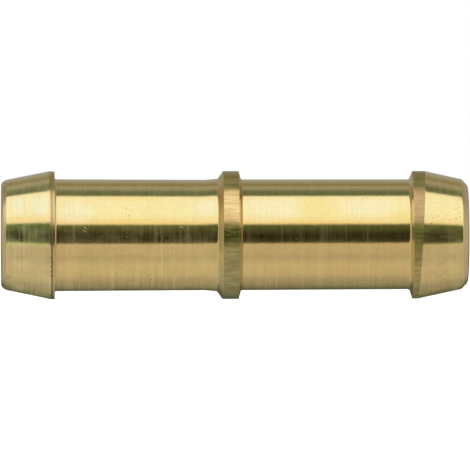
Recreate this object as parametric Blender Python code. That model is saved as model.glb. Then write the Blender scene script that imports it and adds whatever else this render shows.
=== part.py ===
"""Double-ended brass hose joiner, turned from one bar.

Two tapered barbs stand at the ends, two plain shanks run inwards from them, and a collar near the
middle stops the hoses. A bore runs right through. The axis lies along X, +Z is up, and the origin
is on the axis, half way along the length. All sizes are in metres.
"""

import math

import bmesh
import bpy

MM = 0.001

# Overall
LENGTH = 54.65 * MM
BAR_RADIUS = 7.5 * MM  # the collar and the left barb's land stand at the bar's full size
BORE_RADIUS = 4.75 * MM
BORE_CHAMFER = 0.2 * MM

# Left barb, measured along X from the left end
LEFT_NOSE_RADIUS = 6.08 * MM
LEFT_NOSE_CHAMFER = 0.6 * MM
LEFT_CONE_START_RADIUS = 6.45 * MM
LEFT_CONE_END = 5.7 * MM
LEFT_SHOULDER = 6.27 * MM  # square to the axis

# Right barb, measured along X from the right end
RIGHT_BARB_RADIUS = 7.46 * MM  # its land, where the second chucking just skimmed the bar
RIGHT_NOSE_RADIUS = 5.65 * MM
RIGHT_NOSE_CHAMFER = 0.75 * MM
RIGHT_CONE_START_RADIUS = 6.44 * MM
RIGHT_CONE_END = 5.43 * MM
RIGHT_SHOULDER = 6.52 * MM
RIGHT_SHOULDER_RUN = 0.35 * MM  # how far the shoulder leans back from square

# Shanks, each turned very slightly tapered
LEFT_SHANK_RADIUS_AT_BARB = 6.55 * MM
LEFT_SHANK_RADIUS_AT_COLLAR = 6.46 * MM
RIGHT_SHANK_RADIUS_AT_COLLAR = 6.48 * MM
RIGHT_SHANK_RADIUS_AT_BARB = 6.43 * MM

# Stop collar
COLLAR_WIDTH = 1.86 * MM  # its land, between the two flanks
COLLAR_OFFSET = -0.45 * MM  # its middle, left of the middle of the length
COLLAR_LEFT_RUN = 0.65 * MM
COLLAR_RIGHT_RUN = 0.27 * MM
COLLAR_FLARE_LENGTH = 1.5 * MM  # the left shank thickens over this length up to the flank
COLLAR_FLARE_RADIUS = 6.58 * MM

# Radii left by the cutting tools
COLLAR_LEFT_FILLET = 0.3 * MM
FLARE_ROUND = 4.0 * MM
ROOT_FILLET = 0.2 * MM
RIGHT_SHOULDER_FILLET = 0.35 * MM
EDGE_ROUND = 0.06 * MM
LEFT_NOSE_EDGE_ROUND = 0.15 * MM  # between the cone and its nose chamfer
LEFT_NOSE_TIP_ROUND = 0.6 * MM  # between the nose chamfer and the end face
RIGHT_NOSE_EDGE_ROUND = 0.4 * MM
RIGHT_NOSE_TIP_ROUND = 0.7 * MM

SEGMENTS = 48  # around the axis; a flat facet faces straight down, for the joiner to lie on
ARC_STEPS = 3  # straight pieces in each rounded corner
SHARP_ANGLE = math.radians(25.0)  # an edge that turns more than this is shaded sharp

BRASS_COLOUR = (0.80, 0.62, 0.30, 1.0)
BRASS_ROUGHNESS = 0.25


def clear_scene():
    for obj in list(bpy.data.objects):
        bpy.data.objects.remove(obj, do_unlink=True)


def rounded_corner(before, corner, after, radius):
    """Points of an arc of this radius, tangent to the two straight edges that meet at the corner."""
    if radius == 0.0:
        return [corner]
    to_before = (before[0] - corner[0], before[1] - corner[1])
    to_after = (after[0] - corner[0], after[1] - corner[1])
    start_angle = math.atan2(to_before[1], to_before[0])
    end_angle = math.atan2(to_after[1], to_after[0])
    opening = (end_angle - start_angle + math.pi) % (2.0 * math.pi) - math.pi
    half_opening = abs(opening) / 2.0
    reach = radius / math.tan(half_opening)
    to_centre = radius / math.sin(half_opening)
    bisector = start_angle + opening / 2.0
    centre = (
        corner[0] + to_centre * math.cos(bisector),
        corner[1] + to_centre * math.sin(bisector),
    )
    first = (
        corner[0] + reach * math.cos(start_angle),
        corner[1] + reach * math.sin(start_angle),
    )
    first_angle = math.atan2(first[1] - centre[1], first[0] - centre[0])
    sweep = math.copysign(math.pi - 2.0 * half_opening, -opening)
    arc = []
    for step in range(ARC_STEPS + 1):
        angle = first_angle + sweep * step / ARC_STEPS
        arc.append((centre[0] + radius * math.cos(angle), centre[1] + radius * math.sin(angle)))
    return arc


def rounded(outline):
    """A closed outline of (x, r, corner radius) as (x, r) points, with its corners turned into arcs."""
    points = []
    count = len(outline)
    for index, (x, r, radius) in enumerate(outline):
        before = outline[index - 1][:2]
        after = outline[(index + 1) % count][:2]
        points.extend(rounded_corner(before, (x, r), after, radius))
    return points


def left_barb_outline(end):
    """From the bore's mouth, over the nose, cone and land, to the root of the square shoulder."""
    shoulder = end + LEFT_SHOULDER
    return [
        (end, BORE_RADIUS + BORE_CHAMFER, 0.0),
        (end, LEFT_NOSE_RADIUS, LEFT_NOSE_TIP_ROUND),
        (end + LEFT_NOSE_CHAMFER, LEFT_CONE_START_RADIUS, LEFT_NOSE_EDGE_ROUND),
        (end + LEFT_CONE_END, BAR_RADIUS, EDGE_ROUND),
        (shoulder, BAR_RADIUS, EDGE_ROUND),
        (shoulder, LEFT_SHANK_RADIUS_AT_BARB, ROOT_FILLET),
    ]


def collar_outline():
    """Along the flare, up the left flank, along the land and down the right flank."""
    left = COLLAR_OFFSET - COLLAR_WIDTH / 2.0
    right = COLLAR_OFFSET + COLLAR_WIDTH / 2.0
    flank = left - COLLAR_LEFT_RUN
    return [
        (flank - COLLAR_FLARE_LENGTH, LEFT_SHANK_RADIUS_AT_COLLAR, FLARE_ROUND),
        (flank, COLLAR_FLARE_RADIUS, COLLAR_LEFT_FILLET),
        (left, BAR_RADIUS, EDGE_ROUND),
        (right, BAR_RADIUS, EDGE_ROUND),
        (right + COLLAR_RIGHT_RUN, RIGHT_SHANK_RADIUS_AT_COLLAR, ROOT_FILLET),
    ]


def right_barb_outline(end):
    """From the root of the leaning shoulder, over the land, cone and nose, to the bore's mouth."""
    shoulder = end - RIGHT_SHOULDER
    return [
        (shoulder - RIGHT_SHOULDER_RUN, RIGHT_SHANK_RADIUS_AT_BARB, RIGHT_SHOULDER_FILLET),
        (shoulder, RIGHT_BARB_RADIUS, EDGE_ROUND),
        (end - RIGHT_CONE_END, RIGHT_BARB_RADIUS, EDGE_ROUND),
        (end - RIGHT_NOSE_CHAMFER, RIGHT_CONE_START_RADIUS, RIGHT_NOSE_EDGE_ROUND),
        (end, RIGHT_NOSE_RADIUS, RIGHT_NOSE_TIP_ROUND),
        (end, BORE_RADIUS + BORE_CHAMFER, 0.0),
    ]


def joiner_profile():
    """The closed half section of the joiner in (x, r), clockwise from the left mouth of the bore."""
    left_end = -LENGTH / 2.0
    right_end = LENGTH / 2.0
    outline = left_barb_outline(left_end) + collar_outline() + right_barb_outline(right_end)
    outline.append((right_end - BORE_CHAMFER, BORE_RADIUS, 0.0))
    outline.append((left_end + BORE_CHAMFER, BORE_RADIUS, 0.0))
    return rounded(outline)


def turned_mesh(name, profile):
    """The closed profile spun once around the X axis."""
    mesh = bpy.data.meshes.new(name)
    bm = bmesh.new()
    # Half a segment off straight down, so that a facet faces down and not an edge.
    start = math.pi / SEGMENTS
    corners = [bm.verts.new((x, r * math.sin(start), -r * math.cos(start))) for x, r in profile]
    edges = [bm.edges.new((corner, corners[index - 1])) for index, corner in enumerate(corners)]
    bmesh.ops.spin(
        bm,
        geom=corners + edges,
        axis=(1.0, 0.0, 0.0),
        cent=(0.0, 0.0, 0.0),
        angle=2.0 * math.pi,
        steps=SEGMENTS,
        use_merge=True,
    )
    bmesh.ops.recalc_face_normals(bm, faces=bm.faces)
    bm.to_mesh(mesh)
    bm.free()
    return mesh


def brass_material():
    material = bpy.data.materials.new("turned_brass")
    material.use_nodes = True
    shader = material.node_tree.nodes["Principled BSDF"]
    shader.inputs["Base Color"].default_value = BRASS_COLOUR
    shader.inputs["Metallic"].default_value = 1.0
    shader.inputs["Roughness"].default_value = BRASS_ROUGHNESS
    return material


def build_hose_joiner_body():
    mesh = turned_mesh("hose_joiner_body", joiner_profile())
    mesh.shade_smooth()
    mesh.set_sharp_from_angle(angle=SHARP_ANGLE)
    mesh.materials.append(brass_material())
    body = bpy.data.objects.new("hose_joiner_body", mesh)
    bpy.context.scene.collection.objects.link(body)


clear_scene()
build_hose_joiner_body()
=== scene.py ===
import math
import random
from collections import namedtuple

import bpy
from mathutils import Matrix, Vector


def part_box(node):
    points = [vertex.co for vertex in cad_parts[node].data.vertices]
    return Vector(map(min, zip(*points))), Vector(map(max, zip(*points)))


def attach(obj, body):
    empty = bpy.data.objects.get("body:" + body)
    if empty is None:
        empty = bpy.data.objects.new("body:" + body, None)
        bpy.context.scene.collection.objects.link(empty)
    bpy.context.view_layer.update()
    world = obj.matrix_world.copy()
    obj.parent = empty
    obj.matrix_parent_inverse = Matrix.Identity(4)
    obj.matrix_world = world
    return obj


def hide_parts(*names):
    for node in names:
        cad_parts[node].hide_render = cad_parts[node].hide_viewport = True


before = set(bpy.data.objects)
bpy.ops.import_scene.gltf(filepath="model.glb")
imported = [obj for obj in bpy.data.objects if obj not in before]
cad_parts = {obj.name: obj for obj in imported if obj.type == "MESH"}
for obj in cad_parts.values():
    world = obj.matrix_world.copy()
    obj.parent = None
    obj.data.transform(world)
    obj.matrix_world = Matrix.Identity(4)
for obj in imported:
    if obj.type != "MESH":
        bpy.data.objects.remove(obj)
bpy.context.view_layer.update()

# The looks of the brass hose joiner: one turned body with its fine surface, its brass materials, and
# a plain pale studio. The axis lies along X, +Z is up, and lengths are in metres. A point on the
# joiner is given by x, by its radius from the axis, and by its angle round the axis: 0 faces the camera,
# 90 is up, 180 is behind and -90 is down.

MM = 0.001
NODE = "hose_joiner_body"
LOW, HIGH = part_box(NODE)

# Overall sizes, from the frame. The frame doesn't give the body's other sizes, so they repeat the CAD's,
# but for slightly sharper edges.
LEFT_END = LOW.x
RIGHT_END = HIGH.x
BAR_RADIUS = (HIGH.z - LOW.z) / 2.0
BORE_RADIUS = 4.75 * MM
BORE_CHAMFER = 0.2 * MM

# Left barb, measured from the left end
LEFT_NOSE_RADIUS = 6.08 * MM
LEFT_NOSE_CHAMFER = 0.6 * MM
LEFT_CONE_START_RADIUS = 6.45 * MM
LEFT_CONE_END = 5.7 * MM
LEFT_SHOULDER = 6.27 * MM

# Right barb, measured from the right end
RIGHT_BARB_RADIUS = 7.46 * MM
RIGHT_NOSE_RADIUS = 5.65 * MM
RIGHT_NOSE_CHAMFER = 0.75 * MM
RIGHT_CONE_START_RADIUS = 6.44 * MM
RIGHT_CONE_END = 5.43 * MM
RIGHT_SHOULDER = 6.52 * MM
RIGHT_SHOULDER_RUN = 0.35 * MM

# Shanks
LEFT_SHANK_RADIUS_AT_BARB = 6.55 * MM
LEFT_SHANK_RADIUS_AT_COLLAR = 6.46 * MM
RIGHT_SHANK_RADIUS_AT_COLLAR = 6.48 * MM
RIGHT_SHANK_RADIUS_AT_BARB = 6.43 * MM

# Stop collar
COLLAR_WIDTH = 1.86 * MM
COLLAR_OFFSET = -0.45 * MM
COLLAR_LEFT_RUN = 0.65 * MM
COLLAR_RIGHT_RUN = 0.27 * MM
COLLAR_FLARE_LENGTH = 1.5 * MM
COLLAR_FLARE_RADIUS = 6.58 * MM

# Radii left by the cutting tools
COLLAR_LEFT_FILLET = 0.3 * MM
FLARE_ROUND = 4.0 * MM
ROOT_FILLET = 0.2 * MM
RIGHT_SHOULDER_FILLET = 0.35 * MM
EDGE_ROUND = 0.05 * MM
LEFT_NOSE_EDGE_ROUND = 0.15 * MM
LEFT_NOSE_TIP_ROUND = 0.6 * MM
RIGHT_NOSE_EDGE_ROUND = 0.4 * MM
RIGHT_NOSE_TIP_ROUND = 0.7 * MM

# A tool mark in the left land, measured from the left end, and small knocks in the rim behind it
MARK_START = 5.86 * MM
MARK_END = 5.99 * MM
MARK_DEPTH = 0.03 * MM
RIM_FALL = 0.03 * MM  # how much lower the rim is than the land
RIM_DEPTH = 0.15 * MM  # how far in from the shoulder the knocks reach
KNOCKS = (  # angle in degrees, width in degrees, depth
    (-31.0, 1.8, 0.07 * MM),
    (-36.0, 1.6, 0.09 * MM),
    (-41.0, 1.6, 0.05 * MM),
    (-17.0, 1.8, 0.04 * MM),
    (118.0, 2.4, 0.06 * MM),
    (-152.0, 2.0, 0.05 * MM),
)

# The cuts run out of true with the bar, upwards. A slant is how far an edge is moved along X at the top,
# and the other way at the bottom.
LEFT_RUN_OUT = 0.045 * MM  # at the left end
RUN_OUT_AT_COLLAR = 0.02 * MM
RIGHT_RUN_OUT = 0.07 * MM  # at the right end
LEFT_SEAM_SLANT = -0.1 * MM  # between the left cone and its land
COLLAR_SLANT = 0.05 * MM  # between the left flank and the collar's land
RIGHT_SEAM_SLANT = 0.4 * MM  # between the right land and its cone

# Mesh fineness
SEGMENTS = 256  # around the axis
ARC_DEGREES = 8.0  # the most that one piece of a rounded corner turns
LEAST_ARC_STEPS = 3
TURNED_STEP = 0.25 * MM  # the length of a piece along the outside
BORE_STEP = 1.0 * MM
GROOVE_DEPTH = 0.0012 * MM  # the most that a turned ring is lower than its zone
GROOVE_SEED = 7
SHARP_ANGLE = math.radians(25.0)  # an edge that turns more than this is shaded sharp

# Camera
CAMERA_DISTANCE = 1.6
FRAME_WIDTH = 55.02 * MM  # how much of the joiner's length the picture takes in
SENSOR_WIDTH = 36.0  # in mm, as Blender has it
CAMERA_YAW = math.radians(1.2)
CAMERA_ROLL = math.radians(-0.08)
CAMERA_AIM = Vector((0.06 * MM, 0.0, 0.0))
CLIP_END = 20.0

# Floor and background
FLOOR_SIZE = 8.0
FLOOR_COLOUR = (0.85, 0.85, 0.85, 1.0)
FLOOR_GLOW = 0.7
WHITE = (1.0, 1.0, 1.0)

# Each zone of the surface has its own material.
TURNED = ("left_cone", "left_shank", "right_shank", "right_cone")
ZONES = TURNED + ("left_land", "right_land", "mark", "skin", "flank", "right_flank", "face", "bore")

# A corner of the half section. zone is that of the run after it, run_out is the share of the run-out that
# it takes, and slant is its own.
Corner = namedtuple("Corner", "x radius rounding zone run_out slant", defaults=(0.0, 0.0))


def rounded_corner(before, corner, after, radius):
    """Points of an arc of this radius, tangent to the two straight edges that meet at the corner."""
    if radius == 0.0:
        return [corner]
    to_before = Vector(before) - Vector(corner)
    to_after = Vector(after) - Vector(corner)
    half_opening = to_before.angle(to_after) / 2.0
    bisector = (to_before.normalized() + to_after.normalized()).normalized()
    centre = Vector(corner) + bisector * radius / math.sin(half_opening)
    first = Vector(corner) + to_before.normalized() * radius / math.tan(half_opening) - centre
    last = Vector(corner) + to_after.normalized() * radius / math.tan(half_opening) - centre
    sweep = math.atan2(first.cross(last), first.dot(last))
    steps = max(LEAST_ARC_STEPS, math.ceil(abs(math.degrees(sweep)) / ARC_DEGREES))
    arc = []
    for step in range(steps + 1):
        spoke = Matrix.Rotation(sweep * step / steps, 2) @ first
        arc.append(tuple(centre + spoke))
    return arc


def left_corners():
    """From the left end face over the nose, cone, marked land and square shoulder to the shank."""
    nose = LEFT_END + LEFT_NOSE_CHAMFER
    shoulder = LEFT_END + LEFT_SHOULDER
    mark_floor = BAR_RADIUS - MARK_DEPTH
    return [
        Corner(LEFT_END, BORE_RADIUS + BORE_CHAMFER, 0.0, "face"),
        Corner(LEFT_END, LEFT_NOSE_RADIUS, LEFT_NOSE_TIP_ROUND, "face", 1.0),
        Corner(nose, LEFT_CONE_START_RADIUS, LEFT_NOSE_EDGE_ROUND, "left_cone", 1.0),
        Corner(LEFT_END + LEFT_CONE_END, BAR_RADIUS, EDGE_ROUND, "left_land", 0.0, LEFT_SEAM_SLANT),
        Corner(LEFT_END + MARK_START, BAR_RADIUS, 0.0, "mark"),
        Corner(LEFT_END + (MARK_START + MARK_END) / 2.0, mark_floor, 0.0, "mark"),
        Corner(LEFT_END + MARK_END, BAR_RADIUS, 0.0, "left_land"),
        Corner(shoulder, BAR_RADIUS - RIM_FALL, EDGE_ROUND, "face"),
        Corner(shoulder, LEFT_SHANK_RADIUS_AT_BARB, ROOT_FILLET, "left_shank"),
    ]


def collar_corners():
    """Along the flare, over the collar, to the right shank."""
    left = COLLAR_OFFSET - COLLAR_WIDTH / 2.0
    right = COLLAR_OFFSET + COLLAR_WIDTH / 2.0
    flank = left - COLLAR_LEFT_RUN
    root = right + COLLAR_RIGHT_RUN
    return [
        Corner(flank - COLLAR_FLARE_LENGTH, LEFT_SHANK_RADIUS_AT_COLLAR, FLARE_ROUND, "left_shank"),
        Corner(flank, COLLAR_FLARE_RADIUS, COLLAR_LEFT_FILLET, "flank", 0.0, COLLAR_SLANT),
        Corner(left, BAR_RADIUS, EDGE_ROUND, "skin", 0.0, COLLAR_SLANT),
        Corner(right, BAR_RADIUS, EDGE_ROUND, "right_flank"),
        Corner(root, RIGHT_SHANK_RADIUS_AT_COLLAR, ROOT_FILLET, "right_shank", 1.0),
    ]


def right_corners():
    """Up the leaning shoulder, over the land, cone and nose, and back through the bore."""
    shoulder = RIGHT_END - RIGHT_SHOULDER
    root = shoulder - RIGHT_SHOULDER_RUN
    seam = RIGHT_END - RIGHT_CONE_END
    nose = RIGHT_END - RIGHT_NOSE_CHAMFER
    return [
        Corner(root, RIGHT_SHANK_RADIUS_AT_BARB, RIGHT_SHOULDER_FILLET, "face", 1.0),
        Corner(shoulder, RIGHT_BARB_RADIUS, EDGE_ROUND, "right_land"),
        Corner(seam, RIGHT_BARB_RADIUS, EDGE_ROUND, "right_cone", 0.0, RIGHT_SEAM_SLANT),
        Corner(nose, RIGHT_CONE_START_RADIUS, RIGHT_NOSE_EDGE_ROUND, "face", 1.0),
        Corner(RIGHT_END, RIGHT_NOSE_RADIUS, RIGHT_NOSE_TIP_ROUND, "face", 1.0),
        Corner(RIGHT_END, BORE_RADIUS + BORE_CHAMFER, 0.0, "bore"),
        Corner(RIGHT_END - BORE_CHAMFER, BORE_RADIUS, 0.0, "bore"),
        Corner(LEFT_END + BORE_CHAMFER, BORE_RADIUS, 0.0, "bore"),
    ]


def fine_profile():
    """The closed half section with arcs at its corners and its runs cut into short steps.

    An arc belongs to the zone of the run before it, and its last piece to that of the run after it.
    """
    outline = left_corners() + collar_corners() + right_corners()
    points = []
    for index, corner in enumerate(outline):
        before = outline[index - 1]
        after = outline[(index + 1) % len(outline)]
        arc = rounded_corner(before[:2], corner[:2], after[:2], corner.rounding)
        for step, (x, radius) in enumerate(arc):
            zone = before.zone if step < len(arc) - 2 else corner.zone
            in_arc = step < len(arc) - 1
            points.append((corner._replace(x=x, radius=radius, zone=zone), in_arc))
    profile = []
    for index, (point, in_arc) in enumerate(points):
        following = points[(index + 1) % len(points)][0]
        length = math.hypot(following.x - point.x, following.radius - point.radius)
        step = BORE_STEP if point.zone == "bore" else TURNED_STEP
        cuts = 1 if in_arc else max(1, round(length / step))
        for cut in range(cuts):
            share = cut / cuts
            profile.append(point._replace(
                x=point.x + (following.x - point.x) * share,
                radius=point.radius + (following.radius - point.radius) * share,
                run_out=point.run_out + (following.run_out - point.run_out) * share,
                slant=point.slant + (following.slant - point.slant) * share,
            ))
    return profile


def run_out(x):
    """How far the axis of the cuts stands above the bar's own axis at x."""
    if x < COLLAR_OFFSET:
        return LEFT_RUN_OUT
    share = (x - COLLAR_OFFSET) / (RIGHT_END - COLLAR_OFFSET)
    return RUN_OUT_AT_COLLAR + (RIGHT_RUN_OUT - RUN_OUT_AT_COLLAR) * share


def knock_depth(point, angle):
    """How much a knock takes off the left barb's rim here."""
    from_rim = LEFT_END + LEFT_SHOULDER - point.x
    if from_rim > RIM_DEPTH or from_rim < -EDGE_ROUND or point.radius < BAR_RADIUS - RIM_DEPTH:
        return 0.0
    reach = 1.0 - max(from_rim, 0.0) / RIM_DEPTH
    depth = 0.0
    for knock_angle, width, deepest in KNOCKS:
        away = abs(math.degrees(angle) - knock_angle) / width
        depth = max(depth, deepest * max(0.0, 1.0 - away * away))
    return depth * reach


def ring_vertices(point, groove):
    """One ring of the body, from straight behind once round."""
    rise = point.run_out * run_out(point.x)
    ring = []
    for segment in range(SEGMENTS):
        angle = 2.0 * math.pi * segment / SEGMENTS - math.pi
        radius = point.radius + groove - knock_depth(point, angle)
        ring.append((
            point.x + point.slant * math.sin(angle),
            -radius * math.cos(angle),
            radius * math.sin(angle) + rise,
        ))
    return ring


def build_body_mesh():
    profile = fine_profile()
    draws = random.Random(GROOVE_SEED)
    vertices = []
    for point in profile:
        groove = draws.uniform(-1.0, 0.0) * GROOVE_DEPTH if point.zone in TURNED else 0.0
        vertices.extend(ring_vertices(point, groove))
    faces = []
    slots = []
    for ring, point in enumerate(profile):
        following = (ring + 1) % len(profile)
        for segment in range(SEGMENTS):
            beside = (segment + 1) % SEGMENTS
            faces.append((
                ring * SEGMENTS + segment,
                following * SEGMENTS + segment,
                following * SEGMENTS + beside,
                ring * SEGMENTS + beside,
            ))
            slots.append(ZONES.index(point.zone))
    mesh = bpy.data.meshes.new("joiner_body")
    mesh.from_pydata(vertices, [], faces)
    mesh.polygons.foreach_set("material_index", slots)
    mesh.update()
    mesh.shade_smooth()
    mesh.set_sharp_from_angle(angle=SHARP_ANGLE)
    return mesh


def add_node(tree, kind, inputs=None, **settings):
    """A new node with its settings, its inputs linked to sockets or set to values."""
    node = tree.nodes.new(kind)
    for name, value in settings.items():
        setattr(node, name, value)
    for name, value in (inputs or {}).items():
        if isinstance(value, bpy.types.NodeSocket):
            tree.links.new(value, node.inputs[name])
        else:
            node.inputs[name].default_value = value
    return node


def calculate(tree, operation, first, second=0.0, clamp=False):
    node = add_node(tree, "ShaderNodeMath", {0: first, 1: second}, operation=operation, use_clamp=clamp)
    return node.outputs[0]


def ramp(tree, factor, stops):
    """A colour ramp through (position, colour) stops."""
    node = add_node(tree, "ShaderNodeValToRGB", {"Fac": factor})
    elements = node.color_ramp.elements
    while len(elements) < len(stops):
        elements.new(1.0)
    while len(elements) > len(stops):
        elements.remove(elements[-1])
    for element, (position, colour) in zip(elements, stops):
        element.position = position
        element.color = (*colour, 1.0)
    return node.outputs["Color"]


def map_range(tree, value, from_low, from_high, to_low, to_high, kind="LINEAR"):
    inputs = {
        "Value": value,
        "From Min": from_low,
        "From Max": from_high,
        "To Min": to_low,
        "To Max": to_high,
    }
    return add_node(tree, "ShaderNodeMapRange", inputs, interpolation_type=kind).outputs["Result"]


def scaled(tree, vector, factor):
    inputs = {0: vector, "Scale": factor}
    return add_node(tree, "ShaderNodeVectorMath", inputs, operation="SCALE").outputs[0]


def mix_colours(tree, factor, first, second, blend="MIX"):
    """Two colours mixed. The Mix node's sockets share their names, so its colour ones go by number."""
    node = add_node(tree, "ShaderNodeMix", data_type="RGBA", blend_type=blend)
    for socket, value in ((node.inputs[0], factor), (node.inputs[6], first), (node.inputs[7], second)):
        if isinstance(value, bpy.types.NodeSocket):
            tree.links.new(value, socket)
        elif isinstance(value, tuple):
            socket.default_value = (*value, 1.0)
        else:
            socket.default_value = value
    return node.outputs[2]


# A place on the surface that looks different: where it is along the axis in mm, at which angle in
# degrees, how long and wide it is in mm, how far it is tilted from the axis in degrees, and how soft its
# edge is.
Mark = namedtuple("Mark", "along angle length width tilt edge", defaults=(0.0, 0.3))

# Left cone
LEFT_CONE_PALE = (
    Mark(-25.3, 32.0, 1.4, 2.4, edge=0.5),
    Mark(-22.6, 29.0, 1.8, 2.6, edge=0.5),
)
# Yellower marks along the edges of the bright band's reflection, at 17 and 40 degrees: painted reflection.
LEFT_CONE_PAINTED_BAND_EDGES = (
    Mark(-24.1, 17.0, 5.0, 0.6, edge=0.8),
    Mark(-21.5, 40.0, 0.5, 1.2, edge=0.8),
)

# Dark dots along the tool mark
LEFT_LAND_DOTS = (
    Mark(-21.4, -14.0, 0.12, 0.2),
    Mark(-21.4, -19.5, 0.2, 0.24),
    Mark(-21.4, -23.5, 0.14, 0.2),
    Mark(-21.4, -28.5, 0.22, 0.26),
    Mark(-21.4, -33.5, 0.2, 0.24),
    Mark(-21.4, -38.0, 0.18, 0.24),
    Mark(-21.4, 37.0, 0.1, 0.2),
)

# Left shank
LEFT_SHANK_PALE = (
    Mark(-18.4, 24.0, 3.8, 3.0, edge=0.12),
    Mark(-3.3, 30.0, 2.5, 1.9, edge=0.6),
)
# Long thin yellower strips along the bright band's edges, at 41 and 15.5 degrees: painted reflection.
LEFT_SHANK_PAINTED_BAND_EDGES = (
    Mark(-12.0, 41.0, 7.0, 0.7, edge=0.7),
    Mark(-11.0, 15.5, 12.0, 0.6, edge=0.8),
)
LEFT_SHANK_PITS = (
    Mark(-12.7, 29.0, 0.14, 0.14),
    Mark(-12.8, -1.5, 0.28, 0.2),
    Mark(-13.8, -43.0, 0.22, 0.12),
    Mark(-9.7, -52.0, 0.16, 0.16),
    Mark(-12.3, 21.0, 0.1, 0.2),
    Mark(-7.9, -2.5, 0.4, 0.25, edge=0.8),
)
LEFT_SHANK_SCRATCHES = (
    Mark(-17.45, 8.2, 0.45, 0.1, -42.0),
    Mark(-17.5, 4.9, 0.6, 0.1, -34.0),
    Mark(-6.2, 9.0, 0.5, 0.09, -38.0),
    Mark(-12.7, -1.0, 0.12, 0.1),
    Mark(-10.0, -9.5, 0.6, 0.05, -16.0),
    Mark(-10.9, -11.0, 0.4, 0.05, 24.0),
    Mark(-9.2, -12.5, 0.3, 0.05, -30.0),
)

# Right shank
RIGHT_SHANK_PALE = (
    Mark(4.7, 29.0, 5.8, 2.8, edge=0.6),
    Mark(15.6, 31.0, 5.4, 2.4, edge=0.6),
)
# Two deeper patches, and a long thin yellower strip at 15 degrees along the bright band's lower edge,
# which is painted reflection.
RIGHT_SHANK_DEEP_PATCHES_AND_PAINTED_BAND_EDGE = (
    Mark(9.6, 31.0, 4.0, 3.0, edge=0.7),
    Mark(19.6, 20.0, 2.0, 1.4, edge=0.7),
    Mark(9.0, 15.0, 9.0, 0.7, edge=0.8),
)
RIGHT_SHANK_PITS = (
    Mark(3.1, -1.0, 0.6, 0.4, edge=0.9),
    Mark(11.2, 14.5, 0.12, 0.12),
    Mark(15.5, 43.0, 0.12, 0.12),
)
RIGHT_SHANK_SCRATCHES = (Mark(7.2, -3.0, 0.3, 0.05, 30.0),)

# Right cone
RIGHT_CONE_PITS = (
    Mark(26.35, 39.0, 0.16, 0.12),
    Mark(26.1, 29.5, 0.12, 0.12),
    Mark(25.6, 26.4, 0.12, 0.12),
    Mark(26.2, 23.5, 0.1, 0.14),
    Mark(26.3, 19.0, 0.12, 0.12),
    Mark(25.8, 17.0, 0.18, 0.1),
    Mark(25.1, 15.6, 0.12, 0.12),
    Mark(24.6, 20.5, 0.1, 0.1),
    Mark(23.7, 18.4, 0.18, 0.1),
    Mark(23.1, 16.0, 0.1, 0.1),
    Mark(22.9, 11.0, 0.2, 0.12),
)
RIGHT_CONE_SCORES = (
    Mark(23.9, -43.5, 2.0, 0.05, 33.0, 0.9),
    Mark(24.1, -28.0, 0.7, 0.05, 20.0, 0.9),
)

# Colours that multiply the brass where it is mottled, pale, deep or pitted, and that of a fresh scratch
GREENER = (0.985, 1.012, 0.96)
REDDER = (1.02, 0.975, 1.0)
PALER = (1.0, 1.035, 1.25)
# DEEPER also paints the yellower edges of the bright band's reflection, in the long thin deep strips.
DEEPER = (1.0, 0.955, 0.82)
PIT = (0.42, 0.32, 0.25)
BRIGHT_CUT = (0.97, 0.88, 0.62)

# Tints, as (angle round the axis in degrees, colour). One stop alone gives the same tint all round.
# Where a tint changes round the axis, it is partly the brass's own tarnish and partly painted reflection
# of the studio's bands: the dark band facing the camera at about -10 to 10 degrees, and the bright band
# above it at about 13 to 45 degrees.
TURNED_TINTS = ((0.0, (0.915, 0.79, 0.40)),)
CUT_TINTS = ((0.0, (0.86, 0.70, 0.43)),)
BORE_TINTS = ((0.0, (0.58, 0.45, 0.24)),)
# Left cone: greener and lighter from -8 to 8.5 degrees, painted reflection of the dark band, and lighter
# at 12.5 degrees, painted reflection of the bright band.
LEFT_CONE_TINTS_AND_PAINTED_REFLECTIONS = (
    (-180.0, (0.85, 0.77, 0.42)),
    (-12.0, (0.85, 0.77, 0.42)),
    (-8.0, (0.88, 0.93, 0.43)),
    (8.5, (0.88, 0.93, 0.43)),
    (12.5, (0.92, 0.815, 0.44)),
    (180.0, (0.85, 0.77, 0.42)),
)
# Right cone: lighter and greener from -8 to 8.5 degrees, painted reflection of the dark band, and lighter
# at 12.5 degrees, painted reflection of the bright band.
RIGHT_CONE_TINTS_AND_PAINTED_REFLECTIONS = (
    (-180.0, (0.87, 0.755, 0.39)),
    (-12.0, (0.87, 0.755, 0.39)),
    (-8.0, (0.92, 0.86, 0.37)),
    (8.5, (0.92, 0.86, 0.37)),
    (12.5, (0.915, 0.79, 0.40)),
    (180.0, (0.87, 0.755, 0.39)),
)
# Tool mark: dark brown all round, and lighter from 16 to 60 degrees, which is painted reflection of the
# bright band.
MARK_TINTS_AND_PAINTED_REFLECTIONS = (
    (-180.0, (0.24, 0.19, 0.09)),
    (-12.0, (0.26, 0.20, 0.10)),
    (16.0, (0.60, 0.46, 0.24)),
    (60.0, (0.60, 0.46, 0.24)),
    (180.0, (0.24, 0.19, 0.09)),
)
# Left flank: darker from -9 to 8 degrees and redder from 16 to 44 degrees, painted reflections of the dark
# and bright bands.
FLANK_TINTS_AND_PAINTED_REFLECTIONS = (
    (-180.0, (0.80, 0.64, 0.36)),
    (-70.0, (0.76, 0.62, 0.36)),
    (-50.0, (0.80, 0.68, 0.38)),
    (-20.0, (0.92, 0.76, 0.42)),
    (-9.0, (0.68, 0.60, 0.38)),
    (8.0, (0.68, 0.59, 0.36)),
    (16.0, (0.85, 0.59, 0.26)),
    (44.0, (0.82, 0.54, 0.20)),
    (60.0, (0.83, 0.66, 0.28)),
    (180.0, (0.80, 0.64, 0.36)),
)
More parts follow.
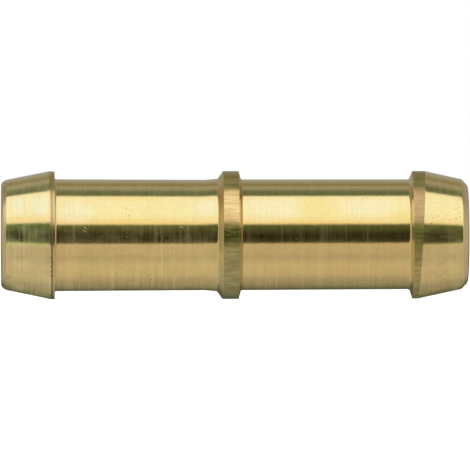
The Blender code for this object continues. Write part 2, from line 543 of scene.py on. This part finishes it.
# Right flank: darker from -9 to 8 degrees and redder from 16 to 44 degrees, painted reflections of the
# dark and bright bands.
RIGHT_FLANK_TINTS_AND_PAINTED_REFLECTIONS = (
    (-180.0, (0.66, 0.50, 0.27)),
    (-20.0, (0.68, 0.52, 0.28)),
    (-9.0, (0.60, 0.50, 0.24)),
    (8.0, (0.60, 0.49, 0.23)),
    (16.0, (0.71, 0.47, 0.23)),
    (44.0, (0.70, 0.45, 0.19)),
    (60.0, (0.74, 0.57, 0.24)),
    (180.0, (0.66, 0.50, 0.27)),
)
# Collar: greener from -5 to 6 degrees, lighter and redder from 13 to 45 degrees, darker from 57 degrees up
# and greener below -12 degrees: painted reflections of the studio's bands.
SKIN_TINTS_AND_PAINTED_REFLECTIONS = (
    (-180.0, (0.60, 0.50, 0.26)),
    (-90.0, (0.48, 0.48, 0.27)),
    (-50.0, (0.46, 0.47, 0.24)),
    (-12.0, (0.47, 0.47, 0.22)),
    (-5.0, (0.56, 0.58, 0.19)),
    (6.0, (0.59, 0.57, 0.18)),
    (13.0, (0.83, 0.63, 0.33)),
    (45.0, (0.81, 0.60, 0.27)),
    (57.0, (0.60, 0.56, 0.22)),
    (66.0, (0.57, 0.47, 0.16)),
    (90.0, (0.57, 0.46, 0.18)),
    (120.0, (0.60, 0.50, 0.26)),
    (180.0, (0.60, 0.50, 0.26)),
)
# Left land: yellower from -8 to 8 degrees and redder from 16 to 44 degrees, painted reflections of the
# dark and bright bands.
LEFT_LAND_TINTS_AND_PAINTED_REFLECTIONS = (
    (-180.0, (0.74, 0.64, 0.38)),
    (-20.0, (0.80, 0.69, 0.42)),
    (-8.0, (0.80, 0.72, 0.36)),
    (8.0, (0.80, 0.71, 0.34)),
    (16.0, (0.77, 0.60, 0.33)),
    (44.0, (0.76, 0.57, 0.27)),
    (60.0, (0.72, 0.59, 0.24)),
    (180.0, (0.74, 0.64, 0.38)),
)
# Right land: darker and greener from -14 to 6 degrees and redder from 13 to 42 degrees, painted
# reflections of the dark and bright bands.
RIGHT_LAND_TINTS_AND_PAINTED_REFLECTIONS = (
    (-180.0, (0.56, 0.47, 0.25)),
    (-60.0, (0.54, 0.49, 0.25)),
    (-30.0, (0.48, 0.45, 0.19)),
    (-14.0, (0.42, 0.41, 0.15)),
    (6.0, (0.44, 0.46, 0.11)),
    (13.0, (0.60, 0.43, 0.24)),
    (42.0, (0.58, 0.41, 0.19)),
    (52.0, (0.53, 0.48, 0.19)),
    (90.0, (0.55, 0.47, 0.20)),
    (130.0, (0.56, 0.47, 0.25)),
    (180.0, (0.56, 0.47, 0.25)),
)

# How a zone was made and has aged, with painted reflections of the studio's bands in some of its tints
# and deep marks. lines says how many fine lines there are, a mm along the axis and a radian round it, and
# shade and relief how dark and deep they are. haze and streaks say how much dull film lies in patches and
# along the lines.
Finish = namedtuple(
    "Finish",
    "name tints roughness anisotropy rotation lines shade haze streaks relief pale deep pits scratches",
    defaults=(0.0, 0.0, (3.0, 0.7), 0.05, 0.0, 0.0, 0.004 * MM, (), (), (), ()),
)

# Rotations of the anisotropy: lines turned round the axis, or drawn along it
ROUND_AXIS = 0.25
ALONG_AXIS = 0.0

FINISHES = {
    "left_cone": Finish(
        "turned_left_cone", LEFT_CONE_TINTS_AND_PAINTED_REFLECTIONS, 0.13, 0.7, ROUND_AXIS, (2.6, 0.5), 0.03,
        haze=0.13, streaks=0.09, pale=LEFT_CONE_PALE, deep=LEFT_CONE_PAINTED_BAND_EDGES,
    ),
    "left_shank": Finish(
        "turned_left_shank", TURNED_TINTS, 0.12, 0.7, ROUND_AXIS, (3.4, 0.6), 0.03,
        haze=0.05, streaks=0.075, pale=LEFT_SHANK_PALE, deep=LEFT_SHANK_PAINTED_BAND_EDGES,
        pits=LEFT_SHANK_PITS, scratches=LEFT_SHANK_SCRATCHES,
    ),
    "right_shank": Finish(
        "turned_right_shank", TURNED_TINTS, 0.12, 0.7, ROUND_AXIS, (3.4, 0.6), 0.03,
        haze=0.015, streaks=0.04, pale=RIGHT_SHANK_PALE, deep=RIGHT_SHANK_DEEP_PATCHES_AND_PAINTED_BAND_EDGE,
        pits=RIGHT_SHANK_PITS, scratches=RIGHT_SHANK_SCRATCHES,
    ),
    "right_cone": Finish(
        "turned_right_cone", RIGHT_CONE_TINTS_AND_PAINTED_REFLECTIONS, 0.13, 0.7, ROUND_AXIS, (3.4, 0.6), 0.03,
        haze=0.07, streaks=0.05, pits=RIGHT_CONE_PITS + RIGHT_CONE_SCORES,
    ),
    "left_land": Finish(
        "turned_left_land", LEFT_LAND_TINTS_AND_PAINTED_REFLECTIONS, 0.26, 0.5, ROUND_AXIS, (3.4, 0.6), 0.05,
        haze=0.05, pits=LEFT_LAND_DOTS,
    ),
    "right_land": Finish(
        "skimmed_right_land", RIGHT_LAND_TINTS_AND_PAINTED_REFLECTIONS, 0.32, 0.3, ALONG_AXIS, (0.5, 24.0), 0.24,
        haze=0.06, streaks=0.05, relief=0.002 * MM,
    ),
    "mark": Finish("tool_mark", MARK_TINTS_AND_PAINTED_REFLECTIONS, 0.5),
    "skin": Finish(
        "drawn_skin", SKIN_TINTS_AND_PAINTED_REFLECTIONS, 0.2, 0.5, ALONG_AXIS, (0.45, 25.0), 0.3,
        haze=0.05, streaks=0.08, relief=0.002 * MM,
    ),
    "flank": Finish("cut_flank", FLANK_TINTS_AND_PAINTED_REFLECTIONS, 0.26, 0.4, ROUND_AXIS),
    "right_flank": Finish("cut_right_flank", RIGHT_FLANK_TINTS_AND_PAINTED_REFLECTIONS, 0.26, 0.4, ROUND_AXIS),
    "face": Finish("cut_face", CUT_TINTS, 0.3),
    "bore": Finish("drilled_bore", BORE_TINTS, 0.4, lines=(2.0, 0.7), relief=0.01 * MM),
}

# A noise pattern: its scale a mm along the axis and a radian round it, its detail, its roughness, and
# the stretch of its values that is used.
Pattern = namedtuple("Pattern", "along around detail roughness low high", defaults=(0.0, 1.0))

MOTTLE = Pattern(0.8, 6.0, 4.0, 0.6, 0.35, 0.65)
GRAIN = Pattern(5.0, 32.0, 1.0, 0.5, 0.3, 0.7)
FILM_PATCHES = Pattern(0.45, 5.0, 3.0, 0.6, 0.4, 0.65)
WAVES = Pattern(1.3, 9.0, 3.0, 0.6)
# These three go by the finish's own lines, and their scale multiplies the number of lines.
LINES = Pattern(1.0, 1.0, 3.0, 0.6, 0.3, 0.7)
FINE_STREAKS = Pattern(2.4, 1.7, 1.0, 0.7, 0.5, 0.68)
WIDE_STREAKS = Pattern(0.6, 0.6, 2.0, 0.6, 0.52, 0.7)

GRAIN_SHADE = 0.04
LEAST_FILM = 0.15  # the film between its patches, as a share of the haze
SMOOTHEST = 0.85  # roughness between and in the lines, as shares of the finish's
ROUGHEST = 1.2
SCRATCH_ROUGHNESS = 0.45
WAVE_HEIGHT = 0.004 * MM  # of the faint waves all over the surface
WOBBLE_SCALE = 2.5  # of the unevenness of the marks' outlines
WOBBLE_DETAIL = 2.0
WOBBLE_REACH = 0.16


def joiner_place(tree):
    """The place on the joiner, as x, y and z."""
    position = add_node(tree, "ShaderNodeTexCoord").outputs["Object"]
    return add_node(tree, "ShaderNodeSeparateXYZ", {0: position}).outputs


def angle_of(tree, y, z):
    """The angle round the axis, in radians."""
    return calculate(tree, "ARCTAN2", z, calculate(tree, "MULTIPLY", y, -1.0))


def ramp_around(tree, angle, stops):
    """A colour ramp through (angle in degrees, colour) stops."""
    turn = calculate(tree, "ADD", calculate(tree, "DIVIDE", angle, 2.0 * math.pi), 0.5)
    return ramp(tree, turn, [((degrees + 180.0) / 360.0, colour) for degrees, colour in stops])


def axial_place(tree, along, around):
    """A texture position without a seam: `along` units a mm along the axis, `around` a radian round it."""
    x, y, z = joiner_place(tree)
    flat = add_node(tree, "ShaderNodeCombineXYZ", {"Y": y, "Z": z}).outputs[0]
    spoke = add_node(tree, "ShaderNodeVectorMath", {0: flat}, operation="NORMALIZE").outputs[0]
    turned = scaled(tree, spoke, around)
    distance = calculate(tree, "MULTIPLY", x, along / MM)
    lengthwise = add_node(tree, "ShaderNodeCombineXYZ", {"X": distance}).outputs[0]
    return add_node(tree, "ShaderNodeVectorMath", {0: turned, 1: lengthwise}).outputs[0]


def unrolled_place(tree):
    """The surface unrolled: mm along the axis, and mm round it at the shanks' radius."""
    x, y, z = joiner_place(tree)
    along = calculate(tree, "MULTIPLY", x, 1.0 / MM)
    arc = calculate(tree, "MULTIPLY", angle_of(tree, y, z), LEFT_SHANK_RADIUS_AT_BARB / MM)
    place = add_node(tree, "ShaderNodeCombineXYZ", {"X": along, "Y": arc}).outputs[0]
    inputs = {"Vector": place, "Scale": WOBBLE_SCALE, "Detail": WOBBLE_DETAIL}
    wobble = add_node(tree, "ShaderNodeTexNoise", inputs).outputs["Color"]
    shift = scaled(tree, wobble, WOBBLE_REACH)
    return add_node(tree, "ShaderNodeVectorMath", {0: place, 1: shift}).outputs[0]


def marked(tree, place, marks):
    """1 inside the marks and 0 outside them."""
    inside = 0.0
    for mark in marks:
        arc = math.radians(mark.angle) * LEFT_SHANK_RADIUS_AT_BARB / MM
        inputs = {
            "Vector": place,
            "Location": (mark.along, arc, 0.0),
            "Rotation": (0.0, 0.0, math.radians(mark.tilt)),
            "Scale": (mark.length / 2.0, mark.width / 2.0, 1.0),
        }
        local = add_node(tree, "ShaderNodeMapping", inputs, vector_type="TEXTURE").outputs[0]
        away = add_node(tree, "ShaderNodeVectorMath", {0: local}, operation="LENGTH").outputs["Value"]
        share = map_range(tree, away, 1.0 - mark.edge, 1.0 + mark.edge, 1.0, 0.0, "SMOOTHSTEP")
        inside = calculate(tree, "MAXIMUM", inside, share)
    return inside


def noise(tree, pattern, lines=(1.0, 1.0)):
    """The values of a pattern, with its scale multiplied by the finish's lines where it goes by them."""
    inputs = {
        "Vector": axial_place(tree, lines[0] * pattern.along, lines[1] * pattern.around),
        "Scale": 1.0,
        "Detail": pattern.detail,
        "Roughness": pattern.roughness,
    }
    return add_node(tree, "ShaderNodeTexNoise", inputs).outputs["Fac"]


def stretched(tree, value, pattern, low, high):
    """The stretch of a pattern's values that is used, taken to between low and high."""
    return map_range(tree, value, pattern.low, pattern.high, low, high)


def shaded(tree, colour, value, pattern, shade):
    """The colour made darker and lighter by this share, along a pattern's values."""
    share = stretched(tree, value, pattern, 1.0 - shade, 1.0 + shade)
    grey = add_node(tree, "ShaderNodeCombineColor", {0: share, 1: share, 2: share}).outputs[0]
    return mix_colours(tree, 1.0, colour, grey, "MULTIPLY")


def brass_colour(tree, finish, line, place):
    x, y, z = joiner_place(tree)
    # The tints round the axis paint reflections of the studio's dark and bright bands into the colour.
    colour = ramp_around(tree, angle_of(tree, y, z), finish.tints)
    mottle = stretched(tree, noise(tree, MOTTLE), MOTTLE, 0.0, 1.0)
    colour = mix_colours(tree, 1.0, colour, mix_colours(tree, mottle, GREENER, REDDER), "MULTIPLY")
    colour = shaded(tree, colour, line, LINES, finish.shade)
    colour = shaded(tree, colour, noise(tree, GRAIN), GRAIN, GRAIN_SHADE)
    # The deep marks include painted reflection: strips along the bright band's edges.
    for marks, change in ((finish.pale, PALER), (finish.deep, DEEPER), (finish.pits, PIT)):
        if marks:
            colour = mix_colours(tree, marked(tree, place, marks), colour, change, "MULTIPLY")
    if finish.scratches:
        colour = mix_colours(tree, marked(tree, place, finish.scratches), colour, BRIGHT_CUT)
    return colour


def hazed_metal(tree, finish):
    """How metallic the surface is: a dull film lies on it, thicker in patches and along its lines."""
    patches = noise(tree, FILM_PATCHES)
    patches = stretched(tree, patches, FILM_PATCHES, finish.haze * LEAST_FILM, finish.haze)
    fine = stretched(tree, noise(tree, FINE_STREAKS, finish.lines), FINE_STREAKS, 0.0, finish.streaks)
    wide = stretched(tree, noise(tree, WIDE_STREAKS, finish.lines), WIDE_STREAKS, 0.0, finish.streaks)
    film = calculate(tree, "ADD", patches, calculate(tree, "ADD", fine, wide))
    return calculate(tree, "SUBTRACT", 1.0, film, clamp=True)


def brass_roughness(tree, finish, line, place):
    roughness = finish.roughness
    rough = stretched(tree, line, LINES, roughness * SMOOTHEST, roughness * ROUGHEST)
    if finish.scratches:
        scratch = calculate(tree, "MULTIPLY", marked(tree, place, finish.scratches), SCRATCH_ROUGHNESS)
        rough = calculate(tree, "ADD", rough, scratch)
    return rough


def brass_relief(tree, finish, line):
    """The normal over the faint waves and the lines."""
    inputs = {"Height": noise(tree, WAVES), "Strength": 1.0, "Distance": WAVE_HEIGHT}
    waves = add_node(tree, "ShaderNodeBump", inputs).outputs[0]
    inputs = {"Height": line, "Strength": 1.0, "Distance": finish.relief, "Normal": waves}
    return add_node(tree, "ShaderNodeBump", inputs).outputs[0]


def brass_material(finish):
    material = bpy.data.materials.new(finish.name)
    material.use_nodes = True
    tree = material.node_tree
    shader = tree.nodes["Principled BSDF"]
    place = unrolled_place(tree)
    line = noise(tree, LINES, finish.lines)
    tree.links.new(brass_colour(tree, finish, line, place), shader.inputs["Base Color"])
    tree.links.new(hazed_metal(tree, finish), shader.inputs["Metallic"])
    tree.links.new(brass_roughness(tree, finish, line, place), shader.inputs["Roughness"])
    tree.links.new(brass_relief(tree, finish, line), shader.inputs["Normal"])
    if finish.anisotropy:
        shader.inputs["Anisotropic"].default_value = finish.anisotropy
        shader.inputs["Anisotropic Rotation"].default_value = finish.rotation
        tangent = add_node(tree, "ShaderNodeTangent", direction_type="RADIAL", axis="X")
        tree.links.new(tangent.outputs[0], shader.inputs["Tangent"])
    return material


def build_body():
    mesh = build_body_mesh()
    for zone in ZONES:
        mesh.materials.append(brass_material(FINISHES[zone]))
    body = bpy.data.objects.new("joiner_body", mesh)
    bpy.context.scene.collection.objects.link(body)
    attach(body, "root")
    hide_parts(NODE)


# The studio seen by the joiner, as bands of light round the X axis. An angle of 0 is the camera's
# side, 90 is straight up, 180 is behind and -90 is straight down.
LIGHT_BANDS = (
    (-180.0, (0.08, 0.08, 0.055)),
    (-154.0, (0.105, 0.105, 0.07)),
    (-134.0, (0.24, 0.225, 0.165)),
    (-120.0, (0.32, 0.28, 0.22)),
    (-108.0, (0.38, 0.325, 0.26)),
    (-90.0, (0.53, 0.44, 0.345)),
    (-66.0, (0.58, 0.47, 0.37)),
    (-48.0, (0.455, 0.38, 0.31)),
    (-36.0, (0.53, 0.425, 0.335)),
    (-19.4, (0.55, 0.445, 0.345)),
    (-15.9, (0.050, 0.050, 0.020)),
    (-8.0, (0.022, 0.016, 0.006)),
    (2.0, (0.026, 0.020, 0.007)),
    (9.0, (0.055, 0.062, 0.022)),
    (19.8, (0.085, 0.100, 0.038)),
    (24.3, (0.985, 0.845, 0.66)),
    (32.0, (1.01, 0.94, 0.83)),
    (46.0, (1.03, 1.04, 0.98)),
    (76.0, (1.04, 1.03, 1.02)),
    (86.5, (1.05, 0.96, 0.87)),
    (90.5, (0.117, 0.155, 0.096)),
    (102.0, (0.144, 0.161, 0.114)),
    (109.0, (0.277, 0.27, 0.233)),
    (117.0, (0.37, 0.337, 0.298)),
    (128.0, (0.248, 0.203, 0.123)),
    (137.0, (0.30, 0.275, 0.22)),
    (154.0, (0.385, 0.368, 0.36)),
    (180.0, (0.314, 0.306, 0.315)),
)
BAND_LEAN = math.radians(4.5)  # how much higher the bands stand at the left, and lower at the right

# The light at the two ends of the axis, which takes over from the bands as a direction turns towards X
SIDE_LIGHT = (0.50, 0.47, 0.40)
SIDE = (0.7, 0.98)  # the direction's part along X where this starts, and where it is whole
LOW_SIDE = (0.35, 0.6)  # the same for a direction that points down
DOWNWARDS = (-0.45, -0.2)  # part along Z below which a direction points down, and above which it doesn't


def side_share(tree, x, z):
    """How much of the side light is seen in a direction."""
    across = calculate(tree, "ABSOLUTE", x)
    beside = map_range(tree, across, *SIDE, 0.0, 1.0, "SMOOTHSTEP")
    low_beside = map_range(tree, across, *LOW_SIDE, 0.0, 1.0, "SMOOTHSTEP")
    low = map_range(tree, z, *DOWNWARDS, 1.0, 0.0, "SMOOTHSTEP")
    return calculate(tree, "MAXIMUM", beside, calculate(tree, "MULTIPLY", low_beside, low))


def build_world():
    world = bpy.data.worlds.new("studio")
    bpy.context.scene.world = world
    world.use_nodes = True
    tree = world.node_tree
    tree.nodes.clear()
    direction = add_node(tree, "ShaderNodeTexCoord").outputs["Generated"]
    x, y, z = add_node(tree, "ShaderNodeSeparateXYZ", {0: direction}).outputs
    lean = calculate(tree, "MULTIPLY", x, BAND_LEAN)
    angle = calculate(tree, "ADD", angle_of(tree, y, z), lean)
    bands = ramp_around(tree, angle, LIGHT_BANDS)
    surround = mix_colours(tree, side_share(tree, x, z), bands, SIDE_LIGHT)
    from_camera = add_node(tree, "ShaderNodeLightPath").outputs["Is Camera Ray"]
    colour = mix_colours(tree, from_camera, surround, WHITE)
    background = add_node(tree, "ShaderNodeBackground", {"Color": colour, "Strength": 1.0})
    output = add_node(tree, "ShaderNodeOutputWorld")
    tree.links.new(background.outputs[0], output.inputs["Surface"])


def build_floor():
    material = bpy.data.materials.new("pale_floor")
    material.use_nodes = True
    shader = material.node_tree.nodes["Principled BSDF"]
    shader.inputs["Base Color"].default_value = FLOOR_COLOUR
    shader.inputs["Roughness"].default_value = 1.0
    shader.inputs["Specular IOR Level"].default_value = 0.0
    shader.inputs["Emission Color"].default_value = (*WHITE, 1.0)
    shader.inputs["Emission Strength"].default_value = FLOOR_GLOW
    half = FLOOR_SIZE / 2.0
    mesh = bpy.data.meshes.new("floor")
    corners = [(-half, -half, LOW.z), (half, -half, LOW.z), (half, half, LOW.z), (-half, half, LOW.z)]
    mesh.from_pydata(corners, [], [(0, 1, 2, 3)])
    mesh.materials.append(material)
    floor = bpy.data.objects.new("floor", mesh)
    # The light from below comes from the studio itself, so the floor neither blocks nor mirrors it.
    floor.visible_glossy = False
    floor.visible_shadow = False
    bpy.context.scene.collection.objects.link(floor)


def build_camera():
    data = bpy.data.cameras.new("camera")
    data.sensor_width = SENSOR_WIDTH
    data.lens = SENSOR_WIDTH * CAMERA_DISTANCE / FRAME_WIDTH
    data.clip_end = CLIP_END
    camera = bpy.data.objects.new("camera", data)
    towards_camera = Vector((-math.sin(CAMERA_YAW), -math.cos(CAMERA_YAW), 0.0))
    turn = Matrix.Rotation(-CAMERA_YAW, 4, "Z") @ Matrix.Rotation(math.pi / 2.0, 4, "X")
    turn = turn @ Matrix.Rotation(CAMERA_ROLL, 4, "Z")
    camera.matrix_world = Matrix.Translation(CAMERA_AIM + towards_camera * CAMERA_DISTANCE) @ turn
    bpy.context.scene.collection.objects.link(camera)
    bpy.context.scene.camera = camera


def write_sizes():
    bpy.context.view_layer.update()


bpy.context.scene.view_settings.view_transform = "Standard"
build_camera()
build_world()
build_floor()
build_body()
write_sizes()
